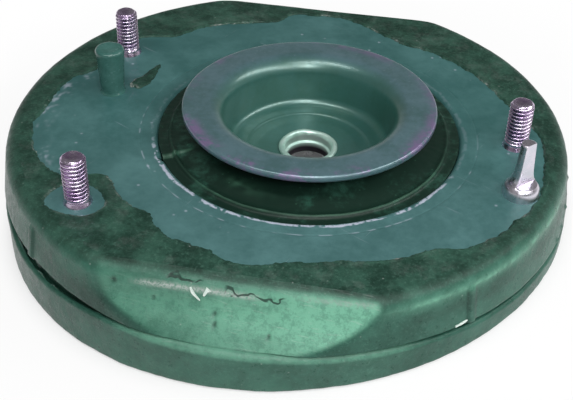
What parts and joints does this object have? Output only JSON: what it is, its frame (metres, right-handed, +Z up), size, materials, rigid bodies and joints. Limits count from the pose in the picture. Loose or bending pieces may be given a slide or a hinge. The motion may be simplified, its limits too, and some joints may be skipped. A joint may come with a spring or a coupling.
{
  "type": "strut mount",
  "caption": "Round rubber-bonded strut mount with an off-centre rebound cup and rod sleeve, threaded studs, locating pins and a thrust bearing underneath.",
  "frame": {"origin": "on the axis of the round body, level with the lowest point of the flange, whose underside slopes up towards the right", "axes": "+Z up along the rod axis, out of the cup's mouth; X along the two moulded flats, +X towards the single stud on the right; Y across the flats"},
  "size_m": [0.196, 0.196, 0.0568],
  "materials": {
    "body_rubber": "moulded rubber, satin, scuffed",
    "plate_paint": "thin paint over rolled sheet, satin",
    "stud_zinc": "zinc plated, iridescent",
    "pin_paint": "thick gloss paint",
    "pin_zinc": "bright zinc",
    "bush_rubber": "moulded rubber, semi-gloss",
    "cup_paint": "thin paint over pressed sheet, worn at the rim",
    "sleeve_zinc": "bright zinc",
    "hub_paint": "thin paint over pressed sheet",
    "race_steel": "turned steel",
    "ball_steel": "polished",
    "cage_nylon": "moulded nylon",
    "seal_rubber": "moulded rubber, satin"
  },
  "bodies": {
    "mount": {"rubber_body": "body_rubber", "top_plate": "plate_paint", "stud_front": "stud_zinc", "stud_rear": "stud_zinc", "stud_right": "stud_zinc", "painted_pin": "pin_paint", "flatted_pin": "pin_zinc", "centre_bush": "bush_rubber", "rebound_cup": "cup_paint", "centre_sleeve": "sleeve_zinc", "bearing_hub": "hub_paint", "upper_race": "race_steel"},
    "turning_race": {"lower_race": "race_steel", "bearing_seal": "seal_rubber"},
    "ball_train": {"bearing_balls": "ball_steel", "ball_cage": "cage_nylon"}
  },
  "joints": [
    {"name": "bearing_spin", "type": "hinge", "parent": "mount", "child": "turning_race", "pos_m": [0.008, -0.0031, 0.0123], "axis": [0, 0, 1], "continuous": true},
    {"name": "cage_spin", "type": "hinge", "parent": "mount", "child": "ball_train", "pos_m": [0.008, -0.0031, 0.0168], "axis": [0, 0, 1], "continuous": true}
  ],
  "couplings": [
    {"joint": "cage_spin", "follows": "bearing_spin", "ratio": 0.5}
  ]
}
